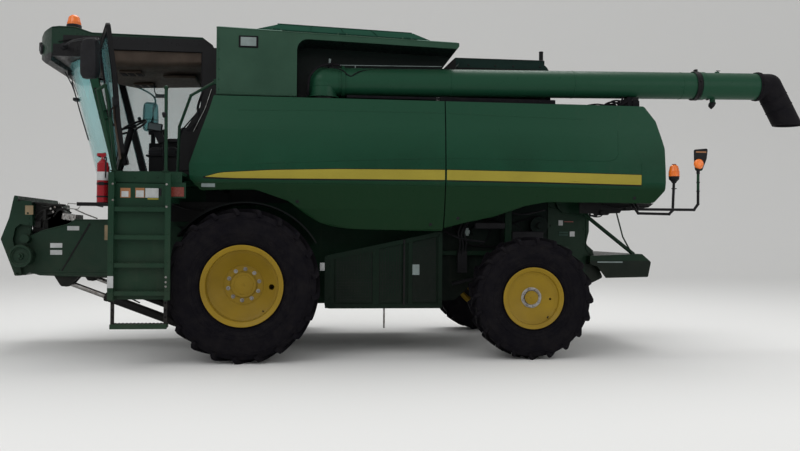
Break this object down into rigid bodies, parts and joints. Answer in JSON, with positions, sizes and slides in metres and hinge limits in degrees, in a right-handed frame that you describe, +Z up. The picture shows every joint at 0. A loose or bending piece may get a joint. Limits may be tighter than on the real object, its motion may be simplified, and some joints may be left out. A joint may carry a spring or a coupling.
{
  "type": "combine harvester",
  "caption": "Self-propelled grain combine harvester without its header: cab, feeder house, hollow grain tank, swinging unloading auger, steered rear wheels and lifting side panels.",
  "frame": {"origin": "on the ground below the middle of the whole machine, as its bounding box measures it", "axes": "+X towards the rear of the machine (it faces -X), +Y towards its right side, +Z up"},
  "size_m": [10.3297, 4.0257, 4.4179],
  "materials": {
    "green": "semi-gloss paint",
    "wheel_yellow": "semi-gloss paint",
    "tyre_rubber": "matt rubber",
    "steel": "worn steel",
    "black_paint": "satin paint",
    "clear_glass": "tinted safety glass",
    "lamp_lens": "clear lens",
    "amber_lens": "amber lens",
    "black_plastic": "grained",
    "soft_rubber": "matt",
    "seat_fabric": "woven",
    "extinguisher_red": "gloss paint"
  },
  "bodies": {
    "chassis": {"main_frame": "green", "front_axle": "green", "rear_axle": "green", "cab_shell": "green", "cab_roof": "green", "cab_glass": "clear_glass", "seat": "seat_fabric", "steering_column": "black_plastic", "mirrors": "black_plastic", "lamps": "lamp_lens", "beacons": "amber_lens", "platform": "green", "fire_extinguisher": "extinguisher_red", "grain_tank": "green", "lower_shields": "green", "engine": "steel", "engine_deck": "black_paint", "cooling_screen": "black_paint", "residue_chopper": "green", "rear_hood": "green"},
    "front_wheel_left": {"front_rim_left": "wheel_yellow", "front_tyre_left": "tyre_rubber"},
    "front_wheel_right": {"front_rim_right": "wheel_yellow", "front_tyre_right": "tyre_rubber"},
    "knuckle_left": {"knuckle_left": "green"},
    "knuckle_right": {"knuckle_right": "green"},
    "rear_wheel_left": {"rear_rim_left": "wheel_yellow", "rear_tyre_left": "tyre_rubber"},
    "rear_wheel_right": {"rear_rim_right": "wheel_yellow", "rear_tyre_right": "tyre_rubber"},
    "tie_rod": {"tie_rod": "steel"},
    "cab_door": {"cab_door": "black_paint", "door_glass": "clear_glass"},
    "ladder": {"ladder": "green"},
    "feeder": {"feeder_house": "green", "feeder_chain": "steel"},
    "lift_barrels": {"lift_barrels": "black_paint"},
    "lift_rods": {"lift_rods": "steel"},
    "tank_cover_left": {"tank_cover_left": "green"},
    "tank_cover_right": {"tank_cover_right": "green"},
    "auger": {"unloading_auger": "green", "auger_spout": "soft_rubber"},
    "panel_left_front": {"panel_left_front": "green"},
    "panel_left_rear": {"panel_left_rear": "green"},
    "panel_right_front": {"panel_right_front": "green"},
    "panel_right_rear": {"panel_right_rear": "green"}
  },
  "joints": [
    {"name": "front_left_roll", "type": "hinge", "parent": "chassis", "child": "front_wheel_left", "pos_m": [-2.095, -1.48, 0.9], "axis": [0, 1, 0], "continuous": true},
    {"name": "front_right_roll", "type": "hinge", "parent": "chassis", "child": "front_wheel_right", "pos_m": [-2.095, 1.48, 0.9], "axis": [0, 1, 0], "continuous": true},
    {"name": "left_steer", "type": "hinge", "parent": "chassis", "child": "knuckle_left", "pos_m": [1.39, -1.153, 0.745], "axis": [0, 0, 1], "range_deg": [-35, 35]},
    {"name": "right_steer", "type": "hinge", "parent": "chassis", "child": "knuckle_right", "pos_m": [1.39, 1.153, 0.745], "axis": [0, 0, 1], "range_deg": [-35, 35]},
    {"name": "rear_left_roll", "type": "hinge", "parent": "knuckle_left", "child": "rear_wheel_left", "pos_m": [1.39, -1.523, 0.745], "axis": [0, 1, 0], "continuous": true},
    {"name": "rear_right_roll", "type": "hinge", "parent": "knuckle_right", "child": "rear_wheel_right", "pos_m": [1.39, 1.523, 0.745], "axis": [0, 1, 0], "continuous": true},
    {"name": "tie_rod_slide", "type": "slide", "parent": "chassis", "child": "tie_rod", "axis": [0, 1, 0], "range_m": [-0.14, 0.14]},
    {"name": "door_swing", "type": "hinge", "parent": "chassis", "child": "cab_door", "pos_m": [-3.705, -0.902, 2.2], "axis": [-0.1392, 0, 0.9903], "range_deg": [0, 72]},
    {"name": "ladder_swing", "type": "hinge", "parent": "chassis", "child": "ladder", "pos_m": [-3.524, -1.925, 2], "axis": [0, 0, -1], "range_deg": [0, 90]},
    {"name": "feeder_tilt", "type": "hinge", "parent": "chassis", "child": "feeder", "pos_m": [-3.045, 0, 1.48], "axis": [0, 1, 0], "range_deg": [-20, 10]},
    {"name": "lift_barrel_tilt", "type": "hinge", "parent": "chassis", "child": "lift_barrels", "pos_m": [-2.795, 0, 0.262], "axis": [0, 1, 0], "range_deg": [-12.4, 6.2]},
    {"name": "lift_rod_slide", "type": "slide", "parent": "lift_barrels", "child": "lift_rods", "axis": [-0.9336, 0, 0.3582], "range_m": [-0.38, 0.191]},
    {"name": "left_cover_lift", "type": "hinge", "parent": "chassis", "child": "tank_cover_left", "pos_m": [-0.94517, -1.408, 3.95992], "axis": [0.9995, 0, -0.0332], "range_deg": [0, 105]},
    {"name": "right_cover_lift", "type": "hinge", "parent": "chassis", "child": "tank_cover_right", "pos_m": [-0.94517, 1.408, 3.95992], "axis": [-0.9995, 0, 0.0332], "range_deg": [0, 105]},
    {"name": "auger_swing", "type": "hinge", "parent": "chassis", "child": "auger", "pos_m": [-1.175, -1.18, 3.23], "axis": [0, 0, -1], "range_deg": [0, 95]},
    {"name": "left_front_panel_lift", "type": "hinge", "parent": "chassis", "child": "panel_left_front", "pos_m": [-0.895, -1.408, 3.133], "axis": [-1, 0, 0], "range_deg": [0, 70]},
    {"name": "left_rear_panel_lift", "type": "hinge", "parent": "chassis", "child": "panel_left_rear", "pos_m": [1.605, -1.408, 3.133], "axis": [-1, 0, 0], "range_deg": [0, 70]},
    {"name": "right_front_panel_lift", "type": "hinge", "parent": "chassis", "child": "panel_right_front", "pos_m": [-0.895, 1.408, 3.133], "axis": [1, 0, 0], "range_deg": [0, 70]},
    {"name": "right_rear_panel_lift", "type": "hinge", "parent": "chassis", "child": "panel_right_rear", "pos_m": [1.605, 1.408, 3.133], "axis": [1, 0, 0], "range_deg": [0, 70]}
  ],
  "couplings": [
    {"joint": "right_steer", "follows": "left_steer", "ratio": 1},
    {"joint": "tie_rod_slide", "follows": "left_steer", "m_per_rad": 0.222},
    {"joint": "lift_barrel_tilt", "follows": "feeder_tilt", "ratio": 0.616},
    {"joint": "lift_rod_slide", "follows": "feeder_tilt", "m_per_rad": 1.084}
  ]
}
